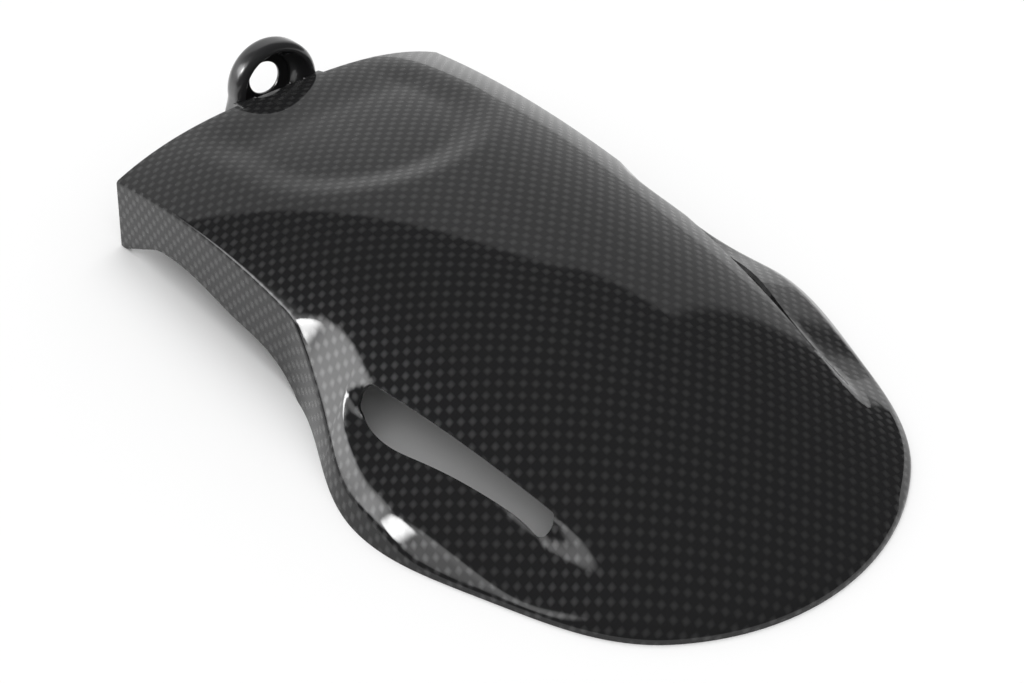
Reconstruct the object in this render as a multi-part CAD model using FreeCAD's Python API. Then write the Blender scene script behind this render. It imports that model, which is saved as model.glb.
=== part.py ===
import FreeCAD, Part
import math
import os

# Rear mudguard of a motorcycle: one moulded carbon skin, open underneath.
# Lengths are in millimetres. While it is built, y runs forward from the rear tip of the rim,
# x runs across from the mid-plane and z runs up from the surface that the part stands on.

# Plan
shell_length = 276.5
wide_width = 185.0
narrow_width = 149.8
waist_width = 145.6
flare_from_tip = 105.0
flare_taper_length = 68.0
nose_hollow = 4.5

# Skin
skin_thickness = 1.5

# Crown: follows the wheel lengthwise and is arched across
crown_height = 50.5
spine_height_tip = 2.8
spine_height_narrow = 37.8
arch_reference = 70.0
arch_fall_tip = 14.5
arch_fall_flare = 22.3
arch_fall_narrow = 10.4
arch_steepest_from_tip = 130.0
arch_power_tip = 2.2
arch_power_narrow = 2.9
arch_ease = 1.4

# Flared fins outside the slots, and the bevel along the rim, which climbs along the sides
fin_lift = 5.2
fin_turn = 0.8
fin_slope = 0.5
fin_front_from_tip = 150.0
fin_front_fade = 14.0
fin_rear_from_tip = 28.0
fin_rear_fade = 34.0
rim_height_nose = 1.5
rim_height_flare = 1.1
rim_turn = 0.44
rim_climb = 0.56
rim_climb_from_tip = 122.7
rim_slope = 0.2
bevel_slope = 1.1
change_over = 1.6

# Recess behind the lug
recess_width = 102.0
recess_from_tip = 177.0
recess_depth = 4.4
recess_edge = 14.0
recess_run_out = 24.0

# Side walls and the arch under each
wall_lean = 0.108
wall_lean_flare = 0.75
foot_length = 2.6
arch_shoulder_from_end = 26.5
arch_shoulder_height = 11.2
arch_peak_from_end = 36.5
arch_peak_height = 12.6
arch_middle_from_tip = 205.0
arch_middle_height = 10.2
arch_low_from_tip = 176.0
arch_low_height = 6.6
arch_end_from_tip = 164.0

# Slots
slot_front_from_tip = 132.3
slot_rear_from_tip = 60.0
slot_front_offset = 67.2
slot_rear_offset = 54.6
slot_front_width = 5.2
slot_belly_width = 9.0
slot_belly_from_tip = 117.0
slot_waist_width = 7.6
slot_waist_from_tip = 96.0
slot_rear_width = 5.4
slot_step = 10.0

# Fixing lug
lug_reach = 15.0
lug_depth = 11.5
lug_radius = 17.8
lug_foot_radius = 5.0
lug_foot_height = 36.2
lug_base_height = 19.5
lug_root = 7.0
lug_near_round = 2.9
lug_far_round = 5.5
bore_diameter = 13.0
bore_height = 35.6
pocket_diameter = 21.0
pocket_start = 0.5
mouth_diameter = 28.6
mouth_depth = 8.0
plate_thickness = 1.5

# Fineness of the moulded surfaces
lines_across = 32
lines_along = 44
outline_steps = 16
margin = 8.0

wide_half = wide_width / 2
narrow_half = narrow_width / 2
waist_half = waist_width / 2
overall_length = shell_length + lug_reach
straight_from_tip = flare_from_tip + flare_taper_length
tip_fall = crown_height - spine_height_tip
end_fall = crown_height - spine_height_narrow
crown_from_tip = shell_length / (1 + math.sqrt(end_fall / tip_fall))


def point(x, y, z):
    return FreeCAD.Vector(x, y, z)


def ramp(share):
    """Smooth step from 0 to 1."""
    share = min(max(share, 0.0), 1.0)
    return share * share * (3.0 - 2.0 * share)


def soft_min(a, b):
    """The lower of two heights, with a rounded change-over."""
    gap = max(change_over - abs(a - b), 0.0)
    return min(a, b) - gap * gap / (4.0 * change_over)


def soft_max(a, b):
    """The higher of two heights, with a rounded change-over."""
    return -soft_min(-a, -b)


def flare_share(y):
    """1 at the widest point, falling to 0 where the side is narrow."""
    share = (y - flare_from_tip) / flare_taper_length
    return 0.5 + 0.5 * math.cos(math.pi * min(max(share, 0.0), 1.0))


def side_half_width(y):
    """Half width at the foot of the wall, forward of the widest point."""
    spread = max(y - straight_from_tip, 0.0) / (shell_length - straight_from_tip)
    straight = waist_half + (narrow_half - waist_half) * spread**2
    return straight + (wide_half - waist_half) * flare_share(y)


def nose_radius(angle):
    """Distance of the rear rim from the middle of the widest line."""
    radius = wide_half + (flare_from_tip - wide_half) * math.sin(angle) ** 2
    if angle < math.pi / 3:
        radius -= nose_hollow * math.sin(3 * angle) ** 2
    return radius


def nose_angle(x, y):
    """0 at the flare, a right angle at the rear tip."""
    if y >= flare_from_tip:
        return 0.0
    return math.atan2(flare_from_tip - y, abs(x))


def inset(x, y):
    """Distance in from the rim, in plan."""
    if y >= flare_from_tip:
        return side_half_width(y) - abs(x)
    return nose_radius(nose_angle(x, y)) - math.hypot(x, flare_from_tip - y)


def rim_height(y, angle):
    """Height of the bevel's plane over the rim."""
    level = rim_height_flare + (rim_height_nose - rim_height_flare) * ramp(angle / rim_turn)
    return level + rim_climb * max(y - rim_climb_from_tip, 0.0)


def crown(x, y):
    """Height of the plain arched crown."""
    run = (y - crown_from_tip) / crown_from_tip
    spine = crown_height - tip_fall * run**2
    if y < arch_steepest_from_tip:
        share = (arch_steepest_from_tip - y) / arch_steepest_from_tip
        fall = arch_fall_flare - (arch_fall_flare - arch_fall_tip) * share**2
    else:
        share = (y - arch_steepest_from_tip) / (shell_length - arch_steepest_from_tip)
        fall = arch_fall_flare - (arch_fall_flare - arch_fall_narrow) * share**arch_ease
    power = arch_power_tip + (arch_power_narrow - arch_power_tip) * max(y, 0.0) / shell_length
    return spine - fall * (abs(x) / arch_reference) ** power


def slot_inner_edge(y):
    """Distance of a slot's upper edge from the mid-plane."""
    share = (y - slot_rear_from_tip) / (slot_front_from_tip - slot_rear_from_tip)
    return slot_rear_offset + (slot_front_offset - slot_rear_offset) * share


def recess(x, y):
    """Depth of the bowl pressed into the crown behind the lug."""
    bowl_radius = recess_width / 2
    bowl_centre = recess_from_tip + bowl_radius
    inside = bowl_radius - math.hypot(x, min(y - bowl_centre, 0.0))
    return recess_depth * ramp(inside / recess_edge) * ramp((shell_length - y) / recess_run_out)


def top_height(x, y):
    """Height of the outer skin."""
    from_rim = inset(x, y)
    angle = nose_angle(x, y)
    to_front = ramp((fin_front_from_tip - y) / fin_front_fade)
    to_rear = ramp((y - fin_rear_from_tip) / fin_rear_fade)
    past_slot = ramp((abs(x) - slot_inner_edge(y)) / slot_step)
    fin = rim_height(y, angle) + fin_lift * (1 - ramp(angle / fin_turn)) + fin_slope * from_rim
    height = crown(x, y)
    height += (fin - height) * past_slot * to_front * to_rear
    return soft_max(height - recess(x, y), rim_height_nose + rim_slope * from_rim)


def skin_point(x, y, depth):
    """Point of the outer skin, moved inwards along its normal by depth."""
    step = skin_thickness / 3
    slope_x = (top_height(x + step, y) - top_height(x - step, y)) / (2 * step)
    slope_y = (top_height(x, y + step) - top_height(x, y - step)) / (2 * step)
    length = math.sqrt(1 + slope_x**2 + slope_y**2)
    return point(x, y, top_height(x, y)) - point(-slope_x, -slope_y, 1) * (depth / length)


def under_skin(depth):
    """Solid below the skin, wider than the part, before the walls trim it."""
    reach = wide_half + margin
    run = overall_length + 2 * margin
    rows = []
    for i in range(lines_across + 1):
        x = reach * (2 * i / lines_across - 1)
        row = []
        for j in range(lines_along + 1):
            y = run * j / lines_along - margin
            row.append(skin_point(x, y, depth))
        rows.append(row)
    surface = Part.BSplineSurface()
    surface.interpolate(rows)
    return surface.toShape().extrude(point(0, 0, -2 * crown_height))


def wall_inset(y, angle, depth, height):
    """How far in from the rim the wall stands at a height; it leans most at the flare."""
    leaning = flare_share(y) ** 2 * (1 - ramp(angle / rim_turn))
    lean = wall_lean + (wall_lean_flare - wall_lean) * leaning
    return depth * math.hypot(1, lean) + lean * height


def bevel_inset(y, angle, depth, height):
    """How far in from the rim the bevel stands at a height."""
    slant = math.hypot(1, bevel_slope)
    return (height - rim_height(y, angle) + depth * slant) / bevel_slope


def plan_wire(inset_rule, depth, height, run_on):
    """Closed plan of the wall or the bevel at a height, from the narrow end round the rear tip."""
    right = []
    for i in range(outline_steps):
        y = shell_length - (shell_length - flare_from_tip) * i / outline_steps
        right.append(point(side_half_width(y) - inset_rule(y, 0.0, depth, height), y, height))
    for i in range(outline_steps + 1):
        angle = math.pi / 2 * i / outline_steps
        radius = nose_radius(angle) - inset_rule(flare_from_tip, angle, depth, height)
        across = radius * math.cos(angle)
        right.append(point(across, flare_from_tip - radius * math.sin(angle), height))
    left = [point(-p.x, p.y, p.z) for p in reversed(right[:-1])]
    corners = [left[-1]]
    if run_on:
        corners.append(left[-1] + point(0, run_on, 0))
        corners.append(right[0] + point(0, run_on, 0))
    corners.append(right[0])
    edges = [spline_edge(right + left)]
    for start, end in zip(corners, corners[1:]):
        edges.append(Part.makeLine(start, end))
    return Part.Wire(edges)


def plan_block(inset_rule, depth, floor, run_on):
    """Solid inside the walls or inside the bevel."""
    low = plan_wire(inset_rule, depth, floor, run_on)
    high = plan_wire(inset_rule, depth, crown_height + margin, run_on)
    return Part.makeLoft([low, high], True, True)


def form(depth, floor, run_on):
    """Space inside the outer form, drawn in on all sides by depth."""
    walls = plan_block(wall_inset, depth, floor, run_on)
    bevel = plan_block(bevel_inset, depth, floor, run_on + margin)
    return walls.common(bevel).common(under_skin(depth))


def skin():
    """The moulded skin: outer form less the hollow under it."""
    return form(0.0, 0.0, 0.0).cut(form(skin_thickness, -margin, margin))


def spline_edge(points):
    curve = Part.BSplineCurve()
    curve.interpolate(points)
    return curve.toShape()


def arch_cutter():
    """Space under the two side walls, seen from the side and run right across."""
    x = -wide_half
    foot = point(x, shell_length - foot_length, 0)
    shoulder = point(x, shell_length - arch_shoulder_from_end, arch_shoulder_height)
    halfway = (foot + shoulder) / 2
    peak = point(x, shell_length - arch_peak_from_end, arch_peak_height)
    middle = point(x, arch_middle_from_tip, arch_middle_height)
    low = point(x, arch_low_from_tip, arch_low_height)
    end = point(x, arch_end_from_tip, 0)
    below = point(0, 0, -margin)
    edges = [spline_edge([foot, halfway, shoulder, peak, middle, low, end])]
    edges.append(Part.makeLine(end, end + below))
    edges.append(Part.makeLine(end + below, foot + below))
    edges.append(Part.makeLine(foot + below, foot))
    return Part.Face(Part.Wire(edges)).extrude(point(wide_width, 0, 0))


def slot_cutter(side):
    """Knife-shaped slot, cut straight down; side is 1 or -1."""

    def place(y, width):
        return point(side * (slot_inner_edge(y) + width), y, 0)

    front_start = slot_front_from_tip - slot_front_width / 2
    rear_end = slot_rear_from_tip + slot_rear_width / 2
    front_inner = place(front_start, 0)
    front_outer = place(front_start, slot_front_width)
    rear_inner = place(rear_end, 0)
    rear_outer = place(rear_end, slot_rear_width)
    front_cap = place(slot_front_from_tip, slot_front_width / 2)
    rear_cap = place(slot_rear_from_tip, slot_rear_width / 2)
    belly = place(slot_belly_from_tip, slot_belly_width)
    waist = place(slot_waist_from_tip, slot_waist_width)
    edges = [Part.makeLine(rear_inner, front_inner)]
    edges.append(Part.Arc(front_inner, front_cap, front_outer).toShape())
    edges.append(spline_edge([front_outer, belly, waist, rear_outer]))
    edges.append(Part.Arc(rear_outer, rear_cap, rear_inner).toShape())
    return Part.Face(Part.Wire(edges)).extrude(point(0, 0, crown_height))


def lug_profile(y):
    """Outline of the lug seen along its bore: a round eye on flared feet."""
    flare_reach = lug_radius + lug_foot_radius
    foot_rise = lug_foot_height + lug_foot_radius - bore_height
    foot_offset = math.sqrt(flare_reach**2 - foot_rise**2)
    joint = lug_radius / flare_reach
    turn = math.atan2(foot_rise, foot_offset) / 2 - math.pi / 4
    foot_mid_x = foot_offset + lug_foot_radius * math.sin(turn)
    foot_mid_z = lug_foot_height + lug_foot_radius - lug_foot_radius * math.cos(turn)

    def place(x, z):
        return point(x, y, z)

    right_joint = place(foot_offset * joint, bore_height + foot_rise * joint)
    left_joint = place(-foot_offset * joint, bore_height + foot_rise * joint)
    crest = place(0, bore_height + lug_radius)
    right_foot = place(foot_offset, lug_foot_height)
    left_foot = place(-foot_offset, lug_foot_height)
    right_base = place(lug_radius, lug_base_height)
    left_base = place(-lug_radius, lug_base_height)
    edges = [Part.Arc(left_joint, crest, right_joint).toShape()]
    edges.append(Part.Arc(right_joint, place(foot_mid_x, foot_mid_z), right_foot).toShape())
    edges.append(Part.makeLine(right_foot, right_base))
    edges.append(Part.makeLine(right_base, left_base))
    edges.append(Part.makeLine(left_base, left_foot))
    edges.append(Part.Arc(left_foot, place(-foot_mid_x, foot_mid_z), left_joint).toShape())
    return Part.Face(Part.Wire(edges))


def lug():
    """The eye with rounded edges, and its root under the skin."""
    near = overall_length - lug_depth
    eye = lug_profile(near).extrude(point(0, lug_depth, 0))
    near_edges = []
    far_edges = []
    for edge in eye.Edges:
        box = edge.BoundBox
        if box.ZMin < lug_foot_height - skin_thickness or box.YLength > skin_thickness:
            continue
        if box.YMax < near + lug_near_round:
            near_edges.append(edge)
        else:
            far_edges.append(edge)
    eye = eye.makeFillet(lug_near_round, near_edges)
    eye = eye.makeFillet(lug_far_round, far_edges)
    root_start = shell_length - lug_root
    root = lug_profile(root_start).extrude(point(0, near + lug_near_round - root_start, 0))
    return eye.fuse(root.common(under_skin(skin_thickness / 2)))


def fixing_hole():
    """Pocket for the bolt head with its wide mouth, and the bore through the plate at its end."""
    forward = point(0, 1, 0)
    pocket_near = shell_length - pocket_start
    pocket_far = overall_length - plate_thickness
    start = point(0, pocket_near, bore_height)
    face = point(0, overall_length - lug_depth, bore_height)
    pocket = Part.makeCylinder(pocket_diameter / 2, pocket_far - pocket_near, start, forward)
    mouth = Part.makeCone(mouth_diameter / 2, pocket_diameter / 2, mouth_depth, face, forward)
    bore = Part.makeCylinder(bore_diameter / 2, overall_length, start, forward)
    return pocket.fuse(mouth).fuse(bore)


def main():
    os.makedirs("parts", exist_ok=True)
    shell = skin()
    shell = shell.cut(arch_cutter())
    for side in (1, -1):
        shell = shell.cut(slot_cutter(side))
    body = shell.fuse(lug()).cut(fixing_hole())
    body.translate(point(0, -overall_length / 2, 0))
    print("solids", len(body.Solids), "valid", body.isValid(), "volume", round(body.Volume), "mm3")
    body.exportStep("parts/mudguard_shell.step")


main()
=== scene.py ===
# %% [markdown]
# # A carbon rear mudguard
# The object is one moulded skin of carbon cloth under clear lacquer. It stands on its rim and on two
# front feet, and a small black eye at the narrow end holds its bolt. The solid model gives the
# sizes, and this script draws the same form again as a smooth mesh, with its weave and its gloss.

# %% Load the solid model
import math

import bmesh
import bpy
import numpy as np
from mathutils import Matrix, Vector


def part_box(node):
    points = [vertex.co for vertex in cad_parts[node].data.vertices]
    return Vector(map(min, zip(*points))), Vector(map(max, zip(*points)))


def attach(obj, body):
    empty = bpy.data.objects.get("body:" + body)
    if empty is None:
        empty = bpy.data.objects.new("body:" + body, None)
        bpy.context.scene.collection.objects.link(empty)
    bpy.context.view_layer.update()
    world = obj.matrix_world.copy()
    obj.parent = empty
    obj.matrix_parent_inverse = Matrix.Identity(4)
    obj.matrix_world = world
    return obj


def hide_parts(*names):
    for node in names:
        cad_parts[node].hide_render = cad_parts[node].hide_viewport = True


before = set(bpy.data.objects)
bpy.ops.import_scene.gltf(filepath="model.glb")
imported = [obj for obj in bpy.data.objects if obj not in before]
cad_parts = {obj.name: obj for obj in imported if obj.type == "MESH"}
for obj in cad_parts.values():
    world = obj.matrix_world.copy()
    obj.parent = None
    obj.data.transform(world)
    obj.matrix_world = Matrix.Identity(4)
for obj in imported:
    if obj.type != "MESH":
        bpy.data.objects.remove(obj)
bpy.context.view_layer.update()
low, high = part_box("mudguard_shell")
mm = 0.001
overall_length = (high.y - low.y) / mm
wide_half = high.x / mm
print("solid model, in mm:", round(2 * wide_half, 1), "x", round(overall_length, 1))

# %% [markdown]
# ## The plan
# Seen from above, the skin is narrow at the front, flares behind the middle and ends in a round
# nose. Two short formulas give its half width: one along the straight sides and one, in polar form,
# round the nose. Lengths are in millimetres from the rear tip until the mesh is made.

# %% Outline of the rim
lug_reach = 15.0
shell_length = overall_length - lug_reach
narrow_half = 74.9
waist_half = 72.8
flare_from_tip = 105.0
flare_taper = 68.0
straight_from_tip = flare_from_tip + flare_taper
nose_hollow = 4.5


def ramp(share):
    share = np.clip(share, 0.0, 1.0)
    return share * share * (3.0 - 2.0 * share)


def flare_share(y):
    share = np.clip((y - flare_from_tip) / flare_taper, 0.0, 1.0)
    return 0.5 + 0.5 * np.cos(math.pi * share)


def side_half_width(y):
    spread = np.maximum(y - straight_from_tip, 0.0) / (shell_length - straight_from_tip)
    straight = waist_half + (narrow_half - waist_half) * spread**2
    return straight + (wide_half - waist_half) * flare_share(y)


def nose_radius(angle):
    radius = wide_half + (flare_from_tip - wide_half) * np.sin(angle) ** 2
    hollow = nose_hollow * np.sin(3 * angle) ** 2
    return radius - np.where(angle < math.pi / 3, hollow, 0.0)


def nose_angle(x, y):
    return np.where(y >= flare_from_tip, 0.0, np.arctan2(np.maximum(flare_from_tip - y, 0.0), np.abs(x)))


def inset(x, y):
    """Distance in from the rim."""
    round_nose = nose_radius(nose_angle(x, y)) - np.hypot(x, flare_from_tip - y)
    return np.where(y >= flare_from_tip, side_half_width(y) - np.abs(x), round_nose)


width_marks = np.array([shell_length, straight_from_tip, flare_from_tip])
print("half widths at the front, the waist and the flare, in mm:", np.round(side_half_width(width_marks), 1))

# %% [markdown]
# ## The height of the skin
# Lengthwise the crown follows the wheel. Across, it is an arch that gets flatter to the front, and a bowl
# is pressed into it behind the eye. A formula keeps the surface smooth, which matters because gloss
# shows every small dent.

# %% Crown and recess
crown_height = 50.5
spine_height_tip = 2.8
spine_height_narrow = 37.8
tip_fall = crown_height - spine_height_tip
end_fall = crown_height - spine_height_narrow
crown_from_tip = shell_length / (1 + math.sqrt(end_fall / tip_fall))
arch_reference = 70.0
arch_fall_tip = 14.5
arch_fall_flare = 22.3
arch_fall_narrow = 10.4
arch_steepest = 130.0
arch_power_tip, arch_power_gain, arch_ease = 2.2, 0.7, 1.4
recess_radius = 51.0
recess_from_tip = 177.0
recess_centre = recess_from_tip + recess_radius
recess_depth, recess_edge, recess_run_out = 4.0, 19.0, 32.0


def crown(x, y):
    spine = crown_height - tip_fall * ((y - crown_from_tip) / crown_from_tip) ** 2
    to_tip = np.maximum(arch_steepest - y, 0.0) / arch_steepest
    to_end = np.maximum(y - arch_steepest, 0.0) / (shell_length - arch_steepest)
    fall = arch_fall_flare - (arch_fall_flare - arch_fall_tip) * to_tip**2
    fall -= (arch_fall_flare - arch_fall_narrow) * to_end**arch_ease
    power = arch_power_tip + arch_power_gain * np.maximum(y, 0.0) / shell_length
    return spine - fall * (np.abs(x) / arch_reference) ** power


def recess(x, y):
    inside = recess_radius - np.hypot(x, np.minimum(y - recess_centre, 0.0))
    return recess_depth * ramp(inside / recess_edge) * ramp((shell_length - y) / recess_run_out)


print("highest point, in mm from the tip:", round(crown_from_tip, 1))

# %% [markdown]
# Beyond each slot the skin drops over a short step to a flared fin, and a bevel runs round the whole
# edge. The crown, the step and the fin are blended into one height, so that no seam shows between them.

# %% Fins, rim and the whole top
slot_rear, slot_front = 60.0, 132.3
slot_rear_offset, slot_front_offset = 54.6, 67.2
slot_step = 6.5
rim_height_flare, rim_height_nose = 1.1, 1.5
rim_turn, rim_climb, rim_climb_from_tip, rim_climb_ease = 0.44, 0.56, 122.7, 12.0
rim_slope, change_over = 0.2, 1.6
fin_lift, fin_turn, fin_slope = 5.2, 0.8, 0.5
fin_front, fin_front_fade = 150.0, 22.0
fin_rear, fin_rear_fade = 28.0, 34.0


def slot_inner_edge(y):
    share = (y - slot_rear) / (slot_front - slot_rear)
    return slot_rear_offset + (slot_front_offset - slot_rear_offset) * share


def soft_max(first, second, width):
    """The larger of two heights, with a round change-over."""
    gap = np.maximum(width - np.abs(first - second), 0.0)
    return np.maximum(first, second) + gap**2 / (4 * width)


def rim_height(y, angle):
    """Height of the bevel over the rim: level round the nose, climbing along the sides."""
    level = rim_height_flare + (rim_height_nose - rim_height_flare) * ramp(angle / rim_turn)
    return level + rim_climb * soft_max(y - rim_climb_from_tip, 0.0, rim_climb_ease)


def top_height(x, y):
    angle, from_rim = nose_angle(x, y), inset(x, y)
    share = ramp((np.abs(x) - slot_inner_edge(y)) / slot_step)
    share = share * ramp((fin_front - y) / fin_front_fade) * ramp((y - fin_rear) / fin_rear_fade)
    fin = rim_height(y, angle) + fin_lift * (1 - ramp(angle / fin_turn)) + fin_slope * from_rim
    height = crown(x, y)
    height = height + (fin - height) * share - recess(x, y)
    return soft_max(height, rim_height_nose + rim_slope * from_rim, change_over)


middle_places = np.array([0.0, crown_from_tip, shell_length])
print("heights on the middle line, in mm:", np.round(top_height(np.zeros(3), middle_places), 1))

# %% [markdown]
# ## Ribs
# The mesh is drawn rib by rib. Each rib starts at the foot of the wall, climbs it, crosses the
# bevel and runs over the crown to the middle line, so the creases lie along rows of points.
# Round the nose the ribs fan out, which keeps the faces even where the outline turns.

# %% Where the ribs stand
spine_start = 60.0
rib_spacing = 1.7
slot_front_width, slot_rear_width = 5.2, 5.4
slot_mid = slot_front_width / 2


def rim_line(share):
    """Point of the rim and its nose angle, from the narrow end (0) to the rear tip (1)."""
    side = shell_length - flare_from_tip
    arc = flare_from_tip * math.pi / 2
    run = share * (side + arc)
    y_side = shell_length - np.minimum(run, side)
    angle = np.maximum(run - side, 0.0) / arc * math.pi / 2
    radius = nose_radius(angle)
    x = np.where(run <= side, side_half_width(y_side), radius * np.cos(angle))
    y = np.where(run <= side, y_side, flare_from_tip - radius * np.sin(angle))
    return x, y, angle


def spine_end(y):
    return spine_start + y * (1 - spine_start / shell_length)


def slot_crossing(share):
    """How far from the tip a rib meets the middle of the slot's line."""
    x, y, _ = rim_line(share)
    slope = (spine_end(y) - y) / np.maximum(x, 1.0)
    lean = (slot_front_offset - slot_rear_offset) / (slot_front - slot_rear)
    start = slot_rear_offset + slot_mid - lean * slot_rear
    return (y + slope * (x - start)) / (1 + slope * lean)


dense = np.linspace(0.0, 1.0, 4001)
rim_length = shell_length - flare_from_tip + flare_from_tip * math.pi / 2
even = np.linspace(0.0, 1.0, int(rim_length / rib_spacing) + 1)
cap_steps = np.array([-0.8, -0.25, 0.02, 0.12, 0.3, 0.6, 1.0, 1.5, 2.1, 2.8])
cap_rows = np.concatenate([slot_front - cap_steps, slot_rear + cap_steps])
crossing = slot_crossing(dense)
caps = np.interp(-cap_rows, -crossing, dense)
keep = np.min(np.abs(even[:, None] - caps[None, :]), axis=1) > 0.3 * rib_spacing / rim_length
rib_shares = np.sort(np.concatenate([even[keep], caps]))
print("ribs in each half:", len(rib_shares))

# %% [markdown]
# ## The slots
# Each slot is a long knife shape with round ends. Two rows of points run along its edges, and the
# faces between them are left out. Ahead of the slot and behind it the same rows carry on as plain skin.

# %% Edges of a slot
width_places = [slot_rear + slot_rear_width / 2, 96.0, 117.0, slot_front - slot_mid]
slot_widths = [slot_rear_width, 7.6, 8.4, slot_front_width]
width_curve = np.polyfit(width_places, slot_widths, 3)
chord_samples = 12001
strip_half, strip_least, strip_growth = 2.6, 0.05, 0.25
strip_ahead, strip_behind, strip_settle = 18.0, 26.0, 45.0


def slot_span(y):
    """Inner and outer edge of the slot, as distances from the middle line."""
    front_cap = np.clip((y - width_places[3]) / slot_mid, 0.0, 1.0)
    rear_cap = np.clip((width_places[0] - y) / (slot_rear_width / 2), 0.0, 1.0)
    width = np.polyval(width_curve, np.clip(y, width_places[0], width_places[3]))
    centre = slot_inner_edge(y) + width / 2
    half = width / 2 * np.sqrt((1 - front_cap**2) * (1 - rear_cap**2))
    return centre - half, centre + half


def slot_chord(share):
    """Where a rib enters and leaves the slot, as distances along it, or None."""
    x, y, _ = rim_line(share)
    length = math.hypot(x, spine_end(y) - y)
    run = np.linspace(0.0, length, chord_samples)
    across = x * (1 - run / length)
    along = y + (spine_end(y) - y) * run / length
    near, far = slot_span(along)
    inside = (across > near) & (across < far) & (along > slot_rear) & (along < slot_front)
    if inside.sum() < 2:
        return None
    return run[inside][0], run[inside][-1]


chords = [slot_chord(share) for share in rib_shares]
open_ribs = [i for i, chord in enumerate(chords) if chord]
first_open, last_open = open_ribs[0], open_ribs[-1]


def strip_span(i):
    """The two rows along the slot's line, also on ribs that miss the slot."""
    if chords[i]:
        return chords[i]
    end = first_open if i < first_open else last_open
    target = strip_ahead if i < first_open else strip_behind
    gone = abs(rib_shares[i] - rib_shares[end]) * rim_length
    middle = sum(chords[end]) / 2
    middle += (target - middle) * ramp(gone / strip_settle)
    half = min(strip_least + strip_growth * gone, strip_half)
    return middle - half, middle + half


print("ribs across the slot:", len(open_ribs))

# %% [markdown]
# ## The foot of the wall
# Between the rim and the front foot the lower edge of the wall lifts in an arch. A smooth curve through
# a few heights draws it, so that the cut edge has no corner.

# %% Arch of the lower edge
arch_places = np.array([164.0, 176.0, 205.0, 240.0, 250.0, 262.0, 273.9])
arch_heights = np.array([0.0, 6.6, 10.2, 12.6, 11.2, 5.7, 0.0])
arch_slopes = np.gradient(arch_heights, arch_places)


def foot_height(y):
    """Height of the wall's lower edge."""
    if y <= arch_places[0] or y >= arch_places[-1]:
        return 0.0
    k = int(np.searchsorted(arch_places, y)) - 1
    span = arch_places[k + 1] - arch_places[k]
    share = (y - arch_places[k]) / span
    rise = arch_heights[k] + (arch_heights[k + 1] - arch_heights[k]) * ramp(share)
    leaving = arch_slopes[k] * share * (1 - share) ** 2
    arriving = arch_slopes[k + 1] * share**2 * (1 - share)
    return rise + span * (leaving - arriving)


print("arch, in mm:", round(arch_places[-1] - arch_places[0], 1), "long,", arch_heights.max(), "high")

# %% [markdown]
# ## Round corners
# Lacquer rounds every corner of the real skin. Averaging a rib over a short length of itself does the same,
# and it leaves the flat stretches between the corners as they are.

# %% Averaging along a rib
corner_round = 1.0


def rounded(line, lengths, places):
    """Points of a line, each the mean of the stretch around it."""
    pieces = (line[1:] + line[:-1]) / 2 * np.diff(lengths)[:, None]
    total = np.concatenate([[np.zeros(3)], np.cumsum(pieces, axis=0)])
    reach = np.minimum(corner_round, np.minimum(places, lengths[-1] - places))
    reach = np.maximum(reach, 1e-4)
    up = np.stack([np.interp(places + reach, lengths, total[:, k]) for k in range(3)], axis=1)
    down = np.stack([np.interp(places - reach, lengths, total[:, k]) for k in range(3)], axis=1)
    mean = (up - down) / (2 * reach[:, None])
    ends = (places < 1e-3) | (places > lengths[-1] - 1e-3)
    exact = np.stack([np.interp(places, lengths, line[:, k]) for k in range(3)], axis=1)
    return np.where(ends[:, None], exact, mean)


print("corners averaged over, in mm:", 2 * corner_round)

# %% [markdown]
# ## One rib
# The wall, the bevel and the top are three simple heights, and the skin is the lowest of them. Each rib has
# the same number of points, with more of them where the skin turns.

# %% Points of a rib
wall_lean, wall_lean_flare = 0.108, 0.6
bevel_slope, bevel_rise, bevel_width, bevel_round = 1.1, 2.3, 8.7, 0.5
fine_reach, fine_samples, coarse_samples = 30.0, 1500, 500
wall_rows, bevel_rows, shoulder_rows, strip_rows, crown_rows = 5, 12, 8, 4, 45
crease_margin, least_wall_share = 2.0, 0.35


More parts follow.
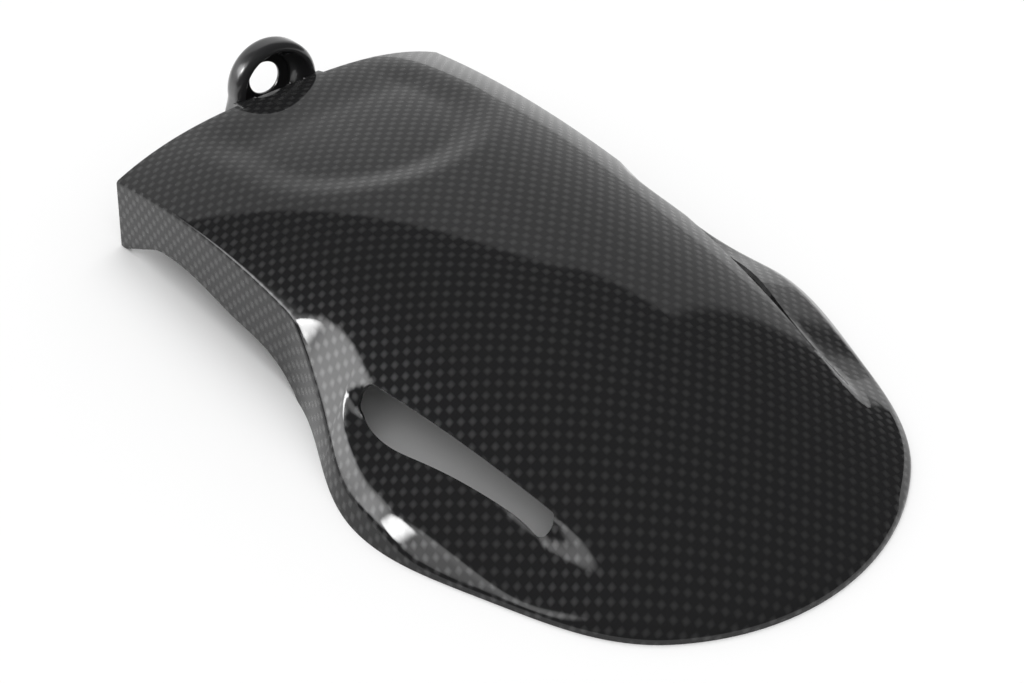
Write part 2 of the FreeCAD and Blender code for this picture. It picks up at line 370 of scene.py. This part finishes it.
def rib(i):
    """Rows of points on one rib, with how far each is below the bevel's upper crease."""
    x, y, angle = (float(v) for v in rim_line(rib_shares[i]))
    length = math.hypot(x, spine_end(y) - y)
    near = min(fine_reach, 0.5 * length)
    run = np.linspace(0.0, near, fine_samples)
    run = np.concatenate([run, np.linspace(near, length, coarse_samples)[1:]])
    across = x * (1 - run / length)
    along = y + (spine_end(y) - y) * run / length
    drawn_in, angles = inset(across, along), nose_angle(across, along)
    leaning = flare_share(along) ** 2 * (1 - ramp(angles / rim_turn))
    wall = drawn_in / (wall_lean + (wall_lean_flare - wall_lean) * leaning)
    raised = bevel_rise * leaning**2 * np.maximum(1 - drawn_in / bevel_width, 0.0)
    bevel = rim_height(along, angles) + bevel_slope * drawn_in + raised
    top = top_height(across, along)
    first_crease = int(np.argmax(wall >= np.minimum(bevel, top)))
    second_crease = int(np.argmax((bevel >= top) & (wall >= top)))
    height = np.minimum(wall, -soft_max(-bevel, -top, bevel_round))
    foot = foot_height(y)
    start = float(np.interp(foot, wall[: first_crease + 1], run[: first_crease + 1]))
    on = run > start
    line = np.stack([across, along, height], axis=1)
    base = [np.interp(start, run, across), np.interp(start, run, along), foot]
    line = np.concatenate([[base], line[on]])
    lengths = np.concatenate([[0.0], np.cumsum(np.linalg.norm(np.diff(line, axis=0), axis=1))])
    run = np.concatenate([[start], run[on]])
    skipped = len(on) - on.sum() - 1
    crease_1 = lengths[max(first_crease - skipped, 1)]
    crease_2 = lengths[max(second_crease - skipped, 1)]
    slot_a, slot_b = np.interp(strip_span(i), run, lengths)
    wall_end = max(crease_1 - crease_margin, least_wall_share * crease_1)
    bevel_end = min(crease_2 + crease_margin, slot_a - crease_margin)
    rows = [np.linspace(0.0, wall_end, wall_rows, endpoint=False)]
    rows.append(np.linspace(wall_end, bevel_end, bevel_rows, endpoint=False))
    rows.append(np.linspace(bevel_end, slot_a, shoulder_rows, endpoint=False))
    rows.append(np.linspace(slot_a, slot_b, strip_rows, endpoint=False))
    rows.append(np.linspace(slot_b, lengths[-1], crown_rows))
    places = np.concatenate(rows)
    crease_place = [np.interp(crease_2, lengths, line[:, k]) for k in range(2)]
    return rounded(line, lengths, places), np.maximum(crease_2 - places, 0.0), angle, crease_place


strip_row = wall_rows + bevel_rows + shoulder_rows
ribs = [rib(i) for i in range(len(rib_shares))]
points = np.array([r[0] for r in ribs])
below_crease = np.array([r[1] for r in ribs])
rib_angles = np.array([r[2] for r in ribs])
crease_places = np.array([r[3] for r in ribs])
print("points in each half:", points.shape[0] * points.shape[1])

# %% [markdown]
# ## Cloth coordinates
# Carbon cloth is laid over the mould, so its threads keep their spacing along the surface. The UV
# map holds lengths along the skin in millimetres: across the arch one way, along the spine the other.

# %% Lengths along the skin
spine_y = np.linspace(-5.0, overall_length, 600)
spine_z = crown(np.zeros(600), spine_y)
spine_run = np.concatenate([[0.0], np.cumsum(np.hypot(np.diff(spine_y), np.diff(spine_z)))])


def cloth_place(x, y):
    steps = np.linspace(0.0, 1.0, 60)
    across = x[..., None] * steps
    height = top_height(across, np.broadcast_to(y[..., None], across.shape))
    arc = np.hypot(np.diff(across, axis=-1), np.diff(height, axis=-1)).sum(axis=-1)
    return arc, np.interp(y, spine_y, spine_run)


on_top = below_crease <= 0.0
cloth_x = np.where(on_top, points[..., 0], crease_places[:, :1])
cloth_y = np.where(on_top, points[..., 1], crease_places[:, 1:])
cloth_u, cloth_v = cloth_place(cloth_x, cloth_y)
cloth_u = cloth_u + below_crease * np.cos(rib_angles)[:, None]
cloth_v = cloth_v - below_crease * np.sin(rib_angles)[:, None]
print("cloth, in mm:", round(2 * cloth_u.max()), "x", round(cloth_v.max() - cloth_v.min()))

# %% [markdown]
# ## The outer sheet
# Neighbouring ribs are joined by four-sided faces. The left half is the mirror of the right, with
# its faces turned the other way so that all of them look outwards.

# %% Join the ribs
rib_count, row_count = points.shape[:2]


def left_out(i, j):
    return chords[i] and chords[i + 1] and strip_row <= j < strip_row + strip_rows


def place(point, side):
    return (side * point[0] * mm, low.y + point[1] * mm, low.z + point[2] * mm)


def build_sheet():
    book = bmesh.new()
    cloth = book.loops.layers.uv.new("cloth")
    for side in (1, -1):
        corners = [[book.verts.new(place(p, side)) for p in row] for row in points]
        for i in range(rib_count - 1):
            for j in range(row_count - 1):
                if left_out(i, j):
                    continue
                ring = [(i, j), (i, j + 1), (i + 1, j + 1), (i + 1, j)]
                if side < 0:
                    ring.reverse()
                face = book.faces.new([corners[a][b] for a, b in ring])
                face.smooth = True
                for loop, (a, b) in zip(face.loops, ring):
                    loop[cloth].uv = (side * cloth_u[a, b], cloth_v[a, b])
    bmesh.ops.remove_doubles(book, verts=book.verts, dist=2e-6)
    bmesh.ops.dissolve_degenerate(book, edges=book.edges, dist=1e-6)
    mesh = bpy.data.meshes.new("outer_sheet")
    book.to_mesh(mesh)
    book.free()
    return mesh


sheet = build_sheet()
shell = bpy.data.objects.new("carbon_skin", sheet)
bpy.context.scene.collection.objects.link(shell)
print("faces of the outer sheet:", len(sheet.polygons))

# %% [markdown]
# ## Thickness
# The laminate has one thickness all over, so the inner face follows the outer sheet at one distance.
# A small Geometry Nodes tree does that: it pushes a copy of the sheet inwards, turns it round and
# joins it to the outer face. Its thickness and its material are named inputs.

# %% Tree that gives a sheet its thickness
def laminate_tree():
    tree = bpy.data.node_groups.new("laminate", "GeometryNodeTree")
    tree.is_modifier = True
    face = tree.interface
    face.new_socket("Sheet", in_out="INPUT", socket_type="NodeSocketGeometry")
    face.new_socket("Thickness", in_out="INPUT", socket_type="NodeSocketFloat")
    face.new_socket("Finish", in_out="INPUT", socket_type="NodeSocketMaterial")
    face.new_socket("Skin", in_out="OUTPUT", socket_type="NodeSocketGeometry")
    nodes, links = tree.nodes, tree.links
    entry = nodes.new("NodeGroupInput")
    leave = nodes.new("NodeGroupOutput")
    inward = nodes.new("ShaderNodeMath")
    inward.operation = "MULTIPLY"
    inward.inputs[1].default_value = -1.0
    normal = nodes.new("GeometryNodeInputNormal")
    push = nodes.new("GeometryNodeExtrudeMesh")
    push.mode = "FACES"
    push.inputs["Individual"].default_value = False
    turn = nodes.new("GeometryNodeFlipFaces")
    both = nodes.new("GeometryNodeJoinGeometry")
    weld = nodes.new("GeometryNodeMergeByDistance")
    weld.inputs["Distance"].default_value = 1e-6
    realize = nodes.new("GeometryNodeRealizeInstances")
    paint = nodes.new("GeometryNodeSetMaterial")
    links.new(entry.outputs["Thickness"], inward.inputs[0])
    links.new(entry.outputs["Sheet"], push.inputs["Mesh"])
    links.new(normal.outputs["Normal"], push.inputs["Offset"])
    links.new(inward.outputs[0], push.inputs["Offset Scale"])
    links.new(push.outputs["Mesh"], turn.inputs["Mesh"])
    links.new(turn.outputs["Mesh"], both.inputs["Geometry"])
    links.new(entry.outputs["Sheet"], both.inputs["Geometry"])
    links.new(both.outputs["Geometry"], weld.inputs["Geometry"])
    links.new(weld.outputs["Geometry"], realize.inputs["Geometry"])
    links.new(realize.outputs["Geometry"], paint.inputs["Geometry"])
    links.new(entry.outputs["Finish"], paint.inputs["Material"])
    links.new(paint.outputs["Geometry"], leave.inputs["Skin"])
    return tree


def set_input(modifier, name, value):
    for item in modifier.node_group.interface.items_tree:
        if item.name == name and item.in_out == "INPUT":
            modifier[item.identifier] = value


skin_thickness = 1.5
laminate = laminate_tree()
print("nodes in the laminate tree:", len(laminate.nodes))

# %% [markdown]
# ## Carbon weave
# The cloth is a plain weave: each thread goes over one and under the next, so the squares alternate
# like a chessboard. In every second square the fibres run lengthwise, in the others across. One node group
# draws the squares from the cloth coordinates and marks the raised part of every second square for a painted
# sheen.

# %% Node group for the weave
def math_node(nodes, links, operation, first, second=None):
    node = nodes.new("ShaderNodeMath")
    node.operation = operation
    for socket, value in zip(node.inputs, (first, second)):
        if value is None:
            continue
        if isinstance(value, (int, float)):
            socket.default_value = value
        else:
            links.new(value, socket)
    return node.outputs[0]


def weave_group():
    group = bpy.data.node_groups.new("plain_weave", "ShaderNodeTree")
    face = group.interface
    face.new_socket("Cloth place", in_out="INPUT", socket_type="NodeSocketVector")
    face.new_socket("Thread width", in_out="INPUT", socket_type="NodeSocketFloat")
    face.new_socket("Sheen", in_out="OUTPUT", socket_type="NodeSocketFloat")
    face.new_socket("Crown", in_out="OUTPUT", socket_type="NodeSocketFloat")
    nodes, links = group.nodes, group.links
    entry = nodes.new("NodeGroupInput")
    leave = nodes.new("NodeGroupOutput")
    split = nodes.new("ShaderNodeSeparateXYZ")
    links.new(entry.outputs["Cloth place"], split.inputs[0])

    def make(operation, first, second=None):
        return math_node(nodes, links, operation, first, second)

    across = make("DIVIDE", split.outputs["X"], entry.outputs["Thread width"])
    along = make("DIVIDE", split.outputs["Y"], entry.outputs["Thread width"])
    square = make("ADD", make("FLOOR", across), make("FLOOR", along))
    over = make("FLOORED_MODULO", square, 2.0)
    side_a = make("SUBTRACT", make("FRACT", across), 0.5)
    side_b = make("SUBTRACT", make("FRACT", along), 0.5)
    round_a = make("COSINE", make("MULTIPLY", side_a, math.pi))
    round_b = make("COSINE", make("MULTIPLY", side_b, math.pi))
    crown_lift = make("MULTIPLY", round_a, round_b)
    # Sheen marks the raised part of every second square, where the material paints a lighter colour
    links.new(make("MULTIPLY", over, make("POWER", crown_lift, 0.9)), leave.inputs["Sheen"])
    links.new(crown_lift, leave.inputs["Crown"])
    return group


weave = weave_group()
print("nodes in the weave group:", len(weave.nodes))

# %% [markdown]
# ## Lacquered carbon
# Below the lacquer the cloth is nearly black. The sheen on the raised part of every second thread is partly
# painted as a lighter base colour and partly real: a share of that colour is mirrored, as graphite does,
# and the rest is scattered. The lacquer itself is the Principled shader's coat: clear, smooth and
# mirror-like at a low angle.

# %% Material of the skin
thread_width = 2.65
dark_thread = (0.0135, 0.0135, 0.014)
thread_with_painted_sheen = (0.0505, 0.0505, 0.051)
mirrored_by_thread = 0.029


def carbon_material():
    material = bpy.data.materials.new("lacquered_carbon")
    material.use_nodes = True
    nodes, links = material.node_tree.nodes, material.node_tree.links
    shader = nodes["Principled BSDF"]
    shader.inputs["Roughness"].default_value = 0.42
    shader.inputs["Specular IOR Level"].default_value = 0.0
    shader.inputs["Coat Weight"].default_value = 0.8
    shader.inputs["Coat Roughness"].default_value = 0.03
    cloth = nodes.new("ShaderNodeUVMap")
    cloth.uv_map = "cloth"
    cells = nodes.new("ShaderNodeGroup")
    cells.node_tree = weave
    cells.inputs["Thread width"].default_value = thread_width
    links.new(cloth.outputs["UV"], cells.inputs["Cloth place"])
    # Painted sheen: the raised crown of every second thread gets a lighter base colour than the dark cloth
    shade = nodes.new("ShaderNodeMix")
    shade.data_type = "RGBA"
    shade.inputs["A"].default_value = (*dark_thread, 1.0)
    shade.inputs["B"].default_value = (*thread_with_painted_sheen, 1.0)
    links.new(cells.outputs["Sheen"], shade.inputs["Factor"])
    links.new(shade.outputs["Result"], shader.inputs["Base Color"])
    mirrored = math_node(nodes, links, "MULTIPLY", cells.outputs["Sheen"], mirrored_by_thread)
    mirrored_share = math_node(nodes, links, "DIVIDE", mirrored, shade.outputs["Result"])
    links.new(mirrored_share, shader.inputs["Metallic"])
    bump = nodes.new("ShaderNodeBump")
    bump.inputs["Strength"].default_value = 0.25
    bump.inputs["Distance"].default_value = 0.15 * mm
    links.new(cells.outputs["Crown"], bump.inputs["Height"])
    links.new(bump.outputs["Normal"], shader.inputs["Normal"])
    return material


carbon = carbon_material()
print("carbon nodes:", len(carbon.node_tree.nodes))

# %% [markdown]
# ## The finished skin
# The tree gives the sheet its thickness, and a small Bevel takes the sharpness off the cut edges.
# Then the result becomes a plain mesh, which is what a model that leaves Blender needs. The rim is cut
# level, as a trimmed moulding is, so that it stands on the floor.

# %% Finish the skin
def plain_mesh(piece):
    """Turn a piece and its modifiers into one plain mesh."""
    graph = bpy.context.evaluated_depsgraph_get()
    mesh = bpy.data.meshes.new_from_object(piece.evaluated_get(graph))
    piece.modifiers.clear()
    piece.data = mesh
    return mesh


edge_round, edge_turn = 0.5, math.radians(55)
thicken = shell.modifiers.new("laminate", "NODES")
thicken.node_group = laminate
set_input(thicken, "Thickness", skin_thickness * mm)
set_input(thicken, "Finish", carbon)
soften = shell.modifiers.new("edges", "BEVEL")
soften.width = edge_round * mm
soften.segments = 3
soften.limit_method = "ANGLE"
soften.angle_limit = edge_turn
soften.harden_normals = True
skin_mesh = plain_mesh(shell)
for corner in skin_mesh.vertices:
    corner.co.z = max(corner.co.z, low.z)
print("faces of the skin:", len(skin_mesh.polygons))

# %% [markdown]
# ## The eye
# The bolt goes through a round eye moulded at the narrow end, black and plain. Everything on it goes
# round the bore, so it is drawn as a set of rings: over its rounded edges, in at the wide mouth, down
# the pocket for the bolt's head and through the bore.

# %% Outline of the eye
bore_height, bore_radius = 35.6, 6.5
eye_radius, eye_base_height, eye_base_half = 17.8, 19.5, 19.0
ring_points = 192


def straight(start, end, count):
    """Points from start towards end, without the end."""
    shares = np.linspace(0.0, 1.0, count, endpoint=False)[:, None]
    return np.array(start) + (np.array(end) - np.array(start)) * shares


def eye_outline():
    """Outline of the eye, a half circle on a wider base, as a radius for each direction from the bore."""
    turn = np.linspace(0.0, math.pi, 200)
    arc = eye_radius * np.stack([np.cos(turn), np.sin(turn)], axis=1)
    base = eye_base_height - bore_height
    corners = [arc[-1], (-eye_base_half, base), (eye_base_half, base), arc[0]]
    sides = [straight(a, b, 60) for a, b in zip(corners, corners[1:])]
    line = np.concatenate([arc] + sides)
    angles = np.arctan2(line[:, 1], line[:, 0])
    order = np.argsort(angles)
    around = np.linspace(0.0, 2 * math.pi, ring_points, endpoint=False)
    radius = np.interp(around, angles[order], np.hypot(*line[order].T), period=2 * math.pi)
    return around, radius


around, outline = eye_outline()
outline_height = bore_height + outline * np.sin(around)
print("eye, in mm:", round(2 * eye_radius, 1), "wide,", round(float(outline_height.max()), 1), "high")

# %% [markdown]
# Its edges are rounded, on the far side more than on the near side, and the rounding runs out towards
# the base. The mouth narrows like a cone to the pocket, and the plate with the bore is as thin as the skin.

# %% Rings of the eye
eye_depth = 11.5
eye_near = overall_length - eye_depth
pocket_end = overall_length - skin_thickness
pocket_radius, mouth_radius, mouth_depth = 10.5, 14.3, 8.0
least_round, mouth_round, bore_round = 0.6, 0.5, 0.4
most_round_near, most_round_far = 2.9, 5.5
round_from, round_over = 24.0, 12.0
rounding = ramp((outline_height - round_from) / round_over)
near_round = least_round + (most_round_near - least_round) * rounding
far_round = least_round + (most_round_far - least_round) * rounding
quarter = np.linspace(0.0, math.pi / 2, 8)
even_ring = np.ones(ring_points)


def outer_edge(y, side, size, turn):
    """One ring of an outer edge; side is 1 on the near face and -1 on the far face."""
    return y + side * size * (1 - np.cos(turn)), outline - size * (1 - np.sin(turn))


def inner_edge(y, side, radius, size, turn):
    """One ring of the rounded edge of a hole."""
    place_y, wide = y + side * size * (1 - math.cos(turn)), radius + size * (1 - math.sin(turn))
    return place_y * even_ring, wide * even_ring


rings = [outer_edge(overall_length, -1, far_round, turn) for turn in quarter]
rings += [outer_edge(eye_near, 1, near_round, turn) for turn in quarter[::-1]]
rings += [inner_edge(eye_near, 1, mouth_radius, mouth_round, turn) for turn in quarter[::2]]
rings.append(((eye_near + mouth_depth) * even_ring, pocket_radius * even_ring))
rings.append((pocket_end * even_ring, pocket_radius * even_ring))
rings += [inner_edge(pocket_end, 1, bore_radius, bore_round, turn) for turn in quarter[::2]]
rings += [inner_edge(overall_length, -1, bore_radius, bore_round, turn) for turn in quarter[::-2]]
print("rings:", len(rings))

# %% [markdown]
# ## The root of the eye
# A solid tongue under the skin's edge carries the eye. Its top lies inside the skin, and where the pocket
# and the mouth run into it, the tongue is hollowed to let the bolt's head pass.

# %% Sections of the root
under_skin, into_eye, past_skin_end = 7.0, 2.0, 0.5
root_start, root_end = shell_length - under_skin, eye_near + into_eye
pocket_start = shell_length - past_skin_end
under_top = 0.75
root_x = np.linspace(-eye_base_half, eye_base_half, 81)


def root_section(y, hole):
    """Outline of the root at one place; hole is the radius of the hollow there, or zero."""
    top = top_height(root_x, np.full_like(root_x, y)) - under_top
    hollow = bore_height - np.sqrt(np.maximum(hole**2 - root_x**2, 0.0))
    top = np.where(np.abs(root_x) < hole, np.minimum(top, hollow), top)
    spots = list(zip(root_x, np.full_like(root_x, y), top))
    return spots + [(eye_base_half, y, eye_base_height), (-eye_base_half, y, eye_base_height)]


root = [root_section(root_start, 0.0), root_section(pocket_start, 0.0)]
root += [root_section(pocket_start, pocket_radius), root_section(eye_near, pocket_radius)]
root += [root_section(eye_near, mouth_radius), root_section(root_end, mouth_radius)]
print("root, in mm:", round(root_end - root_start, 1), "long")

# %% [markdown]
# Both are joined ring by ring into one mesh. The rings of the eye close on themselves, and the two ends of
# the root are filled.

# %% Mesh of the eye and its root
def join_rings(book, loops, closed):
    rows = [[book.verts.new(place(spot, 1)) for spot in loop] for loop in loops]
    for ring, after in zip(rows, rows[1:] + rows[:1] if closed else rows[1:]):
        for n in range(len(ring)):
            m = (n + 1) % len(ring)
            book.faces.new([ring[n], ring[m], after[m], after[n]]).smooth = True
    if not closed:
        book.faces.new(rows[0])
        book.faces.new(rows[-1])


def build_eye():
    book = bmesh.new()
    loops = []
    for y, radius in rings:
        loops.append(list(zip(radius * np.cos(around), y, bore_height + radius * np.sin(around))))
    join_rings(book, loops, True)
    join_rings(book, root, False)
    bmesh.ops.recalc_face_normals(book, faces=book.faces)
    mesh = bpy.data.meshes.new("fixing_eye")
    book.to_mesh(mesh)
    book.free()
    return mesh


eye_mesh = build_eye()
eye_mesh.set_sharp_from_angle(angle=math.radians(40))
eye = bpy.data.objects.new("fixing_eye", eye_mesh)
bpy.context.scene.collection.objects.link(eye)
print("faces of the eye:", len(eye_mesh.polygons))

# %% [markdown]
# ## Black gloss
# The eye is not woven: it is plain black and polished, with a clear gloss much like that of the skin.

# %% Material of the eye
black = bpy.data.materials.new("black_gloss")
black.use_nodes = True
gloss = black.node_tree.nodes["Principled BSDF"]
gloss.inputs["Base Color"].default_value = (0.018, 0.018, 0.019, 1.0)
gloss.inputs["Roughness"].default_value = 0.35
gloss.inputs["Coat Weight"].default_value = 1.0
gloss.inputs["Coat Roughness"].default_value = 0.04
eye_mesh.materials.append(black)
print("materials:", [m.name for m in bpy.data.materials])

# %% [markdown]
# ## Hand the pieces to the frame
# Both pieces stand for the one solid and ride on its body.

# %% Riding on the body
for piece in (shell, eye):
    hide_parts("mudguard_shell")
    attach(piece, "root")
print("pieces:", shell.name, eye.name)

# %% [markdown]
# ## Floor
# The part lies on white paper. The skin's shadow darkens the paper below it, which shows through the slot.
# Far from the part the camera sees plain white, as if the paper went on without an end.

# %% White paper
plain_from, plain_to = 0.3, 0.8
paper = bpy.data.materials.new("white_paper")
paper.use_nodes = True
nodes, links = paper.node_tree.nodes, paper.node_tree.links
paper_shader = nodes["Principled BSDF"]
paper_shader.inputs["Base Color"].default_value = (0.92, 0.92, 0.92, 1.0)
paper_shader.inputs["Roughness"].default_value = 1.0
paper_shader.inputs["Specular IOR Level"].default_value = 0.0
spot = nodes.new("ShaderNodeTexCoord")
reach = nodes.new("ShaderNodeVectorMath")
reach.operation = "LENGTH"
far = nodes.new("ShaderNodeMapRange")
far.interpolation_type = "SMOOTHSTEP"
far.inputs["From Min"].default_value = plain_from
far.inputs["From Max"].default_value = plain_to
ray = nodes.new("ShaderNodeLightPath")
plain_white = nodes.new("ShaderNodeEmission")
blend = nodes.new("ShaderNodeMixShader")
links.new(spot.outputs["Object"], reach.inputs[0])
links.new(reach.outputs["Value"], far.inputs["Value"])
far_and_seen = math_node(nodes, links, "MULTIPLY", far.outputs["Result"], ray.outputs["Is Camera Ray"])
links.new(far_and_seen, blend.inputs[0])
links.new(paper_shader.outputs[0], blend.inputs[1])
links.new(plain_white.outputs[0], blend.inputs[2])
links.new(blend.outputs[0], nodes["Material Output"].inputs["Surface"])
print("paper nodes:", len(nodes))

# %% [markdown]
# The floor itself is one square face. Its far part looks as white as the world behind it, so that its edge
# doesn't show. It belongs to the stage and not to the part.

# %% Floor plane
floor_half = 3.0
floor_signs = ((-1, -1), (1, -1), (1, 1), (-1, 1))
floor_points = [(x * floor_half, y * floor_half, 0.0) for x, y in floor_signs]
floor_mesh = bpy.data.meshes.new("floor")
floor_mesh.from_pydata(floor_points, [], [(0, 1, 2, 3)])
floor_mesh.materials.append(paper)
floor = bpy.data.objects.new("floor", floor_mesh)
bpy.context.scene.collection.objects.link(floor)
print("floor:", 2 * floor_half, "m square")

# %% [markdown]
# ## The room
# Gloss mirrors the room, so the room is drawn by direction in the world's nodes. Three small functions do
# most of it: one for arithmetic, one that measures along a direction, and one that draws a soft edge.

# %% Tools for the world
view_yaw = math.radians(40.194)
world = bpy.data.worlds.new("studio")
bpy.context.scene.world = world
world.use_nodes = True
nodes, links = world.node_tree.nodes, world.node_tree.links
nodes.clear()
out = nodes.new("ShaderNodeOutputWorld")
room = nodes.new("ShaderNodeBackground")
room.inputs["Color"].default_value = (1.0, 1.0, 1.0, 1.0)
where = nodes.new("ShaderNodeTexCoord")


def sky(operation, first, second=None):
    return math_node(nodes, links, operation, first, second)


def part_along(direction):
    """How far the ray goes along a direction."""
    node = nodes.new("ShaderNodeVectorMath")
    node.operation = "DOT_PRODUCT"
    node.inputs[1].default_value = direction
    links.new(where.outputs["Generated"], node.inputs[0])
    return node.outputs["Value"]


def fade(value, edge, width):
    """One below the edge, zero above it."""
    node = nodes.new("ShaderNodeMapRange")
    node.interpolation_type = "SMOOTHSTEP"
    node.inputs["From Min"].default_value = edge - width
    node.inputs["From Max"].default_value = edge + width
    node.inputs["To Min"].default_value = 1.0
    node.inputs["To Max"].default_value = 0.0
    links.new(value, node.inputs["Value"])
    return node.outputs["Result"]


print("world:", world.name)

# %% [markdown]
# White paper rises behind the part to about fifty degrees and ends on the right, and the rest of the room
# is dark. That draws the clear edges across the crown.

# %% Paper behind the part
paper_top, paper_side = math.tan(math.radians(51.8)), math.tan(math.radians(37.0))
paper_edge, least_away = 0.04, 0.02
paper_glow, room_glow = 0.63, 0.065
away = sky("MAXIMUM", part_along((math.sin(view_yaw), math.cos(view_yaw), 0.0)), least_away)
rise = sky("DIVIDE", part_along((0.0, 0.0, 1.0)), away)
aside = sky("DIVIDE", part_along((math.cos(view_yaw), -math.sin(view_yaw), 0.0)), away)
on_paper = sky("MULTIPLY", fade(rise, paper_top, paper_edge), fade(aside, paper_side, paper_edge))
seen = sky("ADD", sky("MULTIPLY", on_paper, paper_glow - room_glow), room_glow)
print("paper seen by mirror rays:", paper_glow)

# %% [markdown]
# Soft panels on the left draw the pale band along the flare's bevel and the bright spot at its corner. Each
# is given by its azimuth, elevation, half angle and brightness. The world shows them and the paper to
# mirror rays, gives an even light to the rest and plain white to the camera.

# %% Soft panels and what each ray sees
even_glow = 0.54
band_panel = (-90, 25, 18, 6.0)
corner_panel = (-109, 33, 9, 30.0)
nose_panel = (-126, 40, 18, 2.8)


def toward(azimuth, elevation):
    """Unit vector, with the azimuth counted to the right of the view, in degrees."""
    turn, lift = view_yaw + math.radians(azimuth), math.radians(elevation)
    return (math.sin(turn) * math.cos(lift), math.cos(turn) * math.cos(lift), math.sin(lift))


def add_glow(sum_so_far, azimuth, elevation, spread, brightness):
    """Add a round soft panel; the spread is its half angle in degrees."""
    rim = math.cos(math.radians(spread))
    near = sky("DIVIDE", sky("SUBTRACT", 1.0, part_along(toward(azimuth, elevation))), 1.0 - rim)
    glow = sky("MULTIPLY", fade(near, 0.5, 0.5), brightness)
    return sky("ADD", sum_so_far, glow)


for soft_panel in (band_panel, corner_panel, nose_panel):
    seen = add_glow(seen, *soft_panel)
path = nodes.new("ShaderNodeLightPath")
mirror_ray, camera_ray = path.outputs["Is Glossy Ray"], path.outputs["Is Camera Ray"]
mirror = sky("MULTIPLY", seen, mirror_ray)
rest = sky("SUBTRACT", sky("SUBTRACT", 1.0, mirror_ray), camera_ray)
strength = sky("ADD", sky("ADD", mirror, sky("MULTIPLY", rest, even_glow)), camera_ray)
links.new(strength, room.inputs["Strength"])
links.new(room.outputs[0], out.inputs["Surface"])
print("world nodes:", len(nodes))

# %% [markdown]
# ## Lamps
# One wide panel hangs over the paper, a little behind the part, so that the shadow stays close to the skin.
# A weaker one behind the camera lights the side wall and the paper below the slot. Mirror rays don't see
# them, because the dark ceiling of the room is what shows in the crown. Each is given by its azimuth,
# elevation and brightness.

# %% Two soft panels
panel_size, panel_distance = 1.6, 2.0
overhead, front = (0.0, 68.0, 2.35), (180.0, 55.0, 1.5)


def hang_panel(name, azimuth, elevation, brightness):
    light = bpy.data.lights.new(name, "AREA")
    light.size = panel_size
    light.energy = brightness * math.pi * panel_size**2
    panel = bpy.data.objects.new(name, light)
    panel.location = toward(azimuth, elevation)
    panel.location *= panel_distance
    panel.rotation_euler = (-panel.location).to_track_quat("-Z", "Y").to_euler()
    panel.visible_glossy = False
    bpy.context.scene.collection.objects.link(panel)
    return light.energy


overhead_power = hang_panel("overhead_panel", *overhead)
front_power = hang_panel("front_panel", *front)
print("panels, in W:", round(overhead_power, 1), round(front_power, 1))

# %% [markdown]
# ## Camera
# The camera looks down at about forty degrees from the left of the nose, as in the photograph.

# %% Camera
sensor_width, image_width, focal_pixels = 36.0, 1024.0, 1500.0
camera_aside, camera_behind_tip, camera_height = -251.5, 153.0, 323.4
camera_pitch = math.radians(39.858)
camera_data = bpy.data.cameras.new("camera")
camera_data.sensor_width = sensor_width
camera_data.lens = sensor_width * focal_pixels / image_width
camera = bpy.data.objects.new("camera", camera_data)
camera.location = (camera_aside * mm, low.y - camera_behind_tip * mm, camera_height * mm)
camera.rotation_euler = (math.pi / 2 - camera_pitch, 0.0, -view_yaw)
bpy.context.scene.collection.objects.link(camera)
bpy.context.scene.camera = camera
bpy.context.scene.view_settings.view_transform = "Standard"
print("lens, in mm:", round(camera_data.lens, 2))
